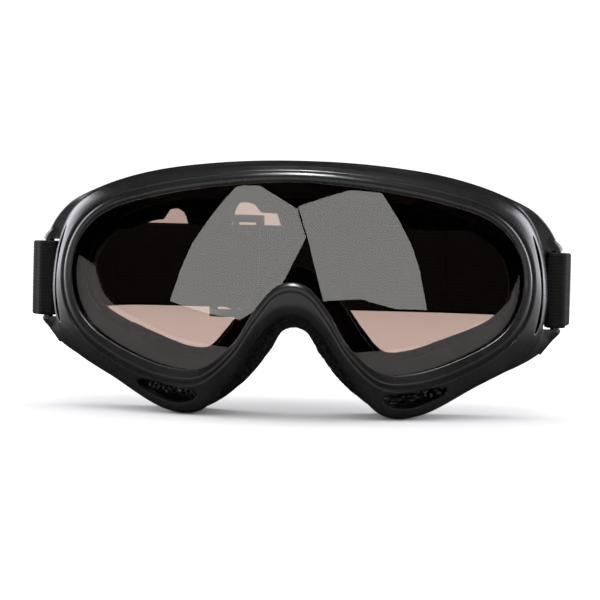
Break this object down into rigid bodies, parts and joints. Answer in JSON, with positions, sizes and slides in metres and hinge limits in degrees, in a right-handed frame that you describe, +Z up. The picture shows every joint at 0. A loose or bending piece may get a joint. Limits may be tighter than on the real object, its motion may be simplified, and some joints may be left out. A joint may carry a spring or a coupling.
{
  "type": "motorcycle goggles",
  "caption": "Over-face goggles with a flexible moulded frame, one wide tinted cylindrical lens, face foam, vents and an elastic strap with a slider.",
  "frame": {"origin": "middle of the footprint, on the surface that the two cheek lobes stand on", "axes": "+Z up, the lens faces -Y, +X to the right as seen from the front"},
  "size_m": [0.1884, 0.115, 0.083],
  "materials": {
    "frame_moulding": "satin moulded",
    "lens_tint": "polished brown tint",
    "open_cell_foam": "open cell foam",
    "filter_foam": "coarse open cell foam",
    "elastic_webbing": "woven",
    "sewing_thread": "twisted thread",
    "slider_moulding": "fine texture"
  },
  "bodies": {
    "frame": {"frame": "frame_moulding", "lens": "lens_tint", "face_foam": "open_cell_foam", "top_vent_foam_right": "filter_foam", "top_vent_foam_left": "filter_foam", "lower_vent_foam_right": "filter_foam", "lower_vent_foam_left": "filter_foam"},
    "strap": {"strap_webbing": "elastic_webbing", "strap_return_layer": "elastic_webbing", "left_loop_stitching": "sewing_thread"},
    "slider": {"slider": "slider_moulding", "slider_loop_stitching": "sewing_thread"}
  },
  "joints": [
    {"name": "strap_swing", "type": "hinge", "parent": "frame", "child": "strap", "pos_m": [0, -0.00958, 0.0423], "axis": [1, 0, 0], "range_deg": [-8, 8]},
    {"name": "slider_adjust", "type": "slide", "parent": "strap", "child": "slider", "axis": [1, 0, 0], "range_m": [0, 0.05], "deforming": ["strap_return_layer"]}
  ]
}
